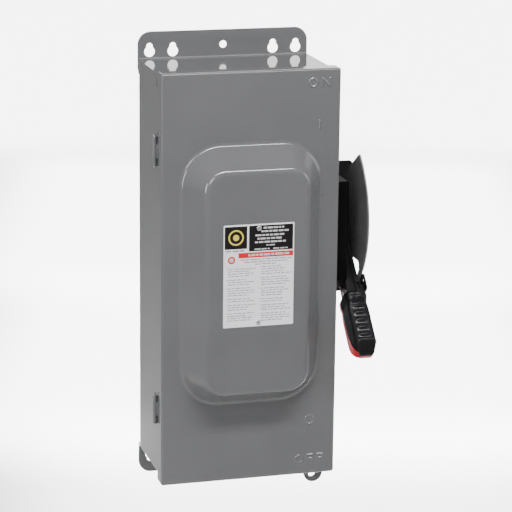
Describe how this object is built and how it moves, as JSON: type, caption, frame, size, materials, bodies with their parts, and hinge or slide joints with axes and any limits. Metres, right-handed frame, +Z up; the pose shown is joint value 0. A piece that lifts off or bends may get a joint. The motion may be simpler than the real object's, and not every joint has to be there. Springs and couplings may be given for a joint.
{
  "type": "fusible safety switch",
  "caption": "Wall-mounted steel disconnect box with a hinged cover with a raised panel, a side handle with padlock guard, and a three-pole fused knife switch inside.",
  "frame": {"origin": "on the wall plane, at the middle of the steel box's back", "axes": "+Z up, -Y out of the wall towards the user, +X towards the handle side"},
  "size_m": [0.2689, 0.1687, 0.5394],
  "materials": {
    "enclosure_paint": "glossy grey enamel",
    "zinc_steel": "zinc plated, satin",
    "dark_steel": "black oxide, satin",
    "black_moulding": "black moulded, satin",
    "grip_black": "black, semi-gloss",
    "grip_red": "red, semi-gloss",
    "insulator": "dark phenolic moulding",
    "copper": "bare copper, satin",
    "brass": "brass ferrule",
    "aluminium": "tin-plated aluminium",
    "fuse_tube": "fibre tube",
    "label": "printed label, satin",
    "arc_fibre": "vulcanised fibre"
  },
  "bodies": {
    "enclosure": {"box_wrapper": "enclosure_paint", "top_end_cap": "enclosure_paint", "bottom_end_cap": "enclosure_paint", "top_wall_flange": "enclosure_paint", "bottom_wall_flange": "enclosure_paint", "bottom_knockouts": "enclosure_paint", "box_hinge_leaves": "enclosure_paint", "hinge_pins": "zinc_steel", "latch_bracket": "enclosure_paint", "latch_pin": "zinc_steel", "latch_spring": "zinc_steel", "handle_base": "black_moulding", "base_screws": "zinc_steel", "mechanism_plate": "zinc_steel", "guard_bracket": "dark_steel", "guard_plate": "enclosure_paint", "guard_rivets": "zinc_steel", "shaft_spring": "dark_steel", "mounting_pan": "zinc_steel", "pan_spacers": "zinc_steel", "pan_screws": "zinc_steel", "line_base": "insulator", "line_jaws": "copper", "arc_chutes": "arc_fibre", "arc_plates": "dark_steel", "line_lugs": "aluminium", "line_lug_screws": "zinc_steel", "rotor_bearings": "zinc_steel", "hinge_jaws": "copper", "fuse_base": "insulator", "upper_fuse_clips": "copper", "lower_fuse_clips": "copper", "load_base": "insulator", "load_lugs": "aluminium", "load_lug_screws": "zinc_steel", "fuse_tubes": "fuse_tube", "fuse_ferrules": "brass", "ground_lug": "aluminium", "ground_screw": "zinc_steel"},
    "cover": {"cover_pan": "enclosure_paint", "cover_hinge_leaves": "enclosure_paint", "label_plate": "label", "cover_catch": "zinc_steel"},
    "cover_latch": {"cover_latch": "enclosure_paint"},
    "handle": {"handle_shaft": "dark_steel", "handle_arm": "dark_steel", "grip_front": "grip_black", "grip_back": "grip_red", "grip_screws": "zinc_steel", "drive_crank": "zinc_steel", "interlock_hook": "zinc_steel", "lock_slide_pin": "dark_steel"},
    "lock_slide": {"lock_slide": "dark_steel"},
    "rotor": {"rotor_crossbar": "insulator", "switch_blades": "copper", "rotor_crank": "zinc_steel"},
    "link": {"drive_link": "zinc_steel"}
  },
  "joints": [
    {"name": "cover_hinge", "type": "hinge", "parent": "enclosure", "child": "cover", "pos_m": [-0.1065, -0.1048, 0], "axis": [0, 0, -1], "range_deg": [0, 110]},
    {"name": "latch_pivot", "type": "hinge", "parent": "enclosure", "child": "cover_latch", "pos_m": [0.0848, -0.09, -0.243], "axis": [1, 0, 0], "range_deg": [0, 20], "stiffness_Nm_per_rad": 0.05},
    {"name": "handle_pivot", "type": "hinge", "parent": "enclosure", "child": "handle", "pos_m": [0.1312, -0.029, 0.054], "axis": [-1, 0, 0], "range_deg": [0, 94]},
    {"name": "rotor_pivot", "type": "hinge", "parent": "enclosure", "child": "rotor", "pos_m": [0, -0.044, 0.104], "axis": [-1, 0, 0], "range_deg": [0, 94]},
    {"name": "link_pivot", "type": "hinge", "parent": "handle", "child": "link", "pos_m": [0.0775, -0.03609, 0.03966], "axis": [-1, 0, 0], "range_deg": [-94, 0]},
    {"name": "lock_slide_travel", "type": "slide", "parent": "handle", "child": "lock_slide", "axis": [0, 0.682, 0.7314], "range_m": [0, 0.008]}
  ],
  "couplings": [
    {"joint": "rotor_pivot", "follows": "handle_pivot", "ratio": 1},
    {"joint": "link_pivot", "follows": "handle_pivot", "ratio": -1}
  ]
}
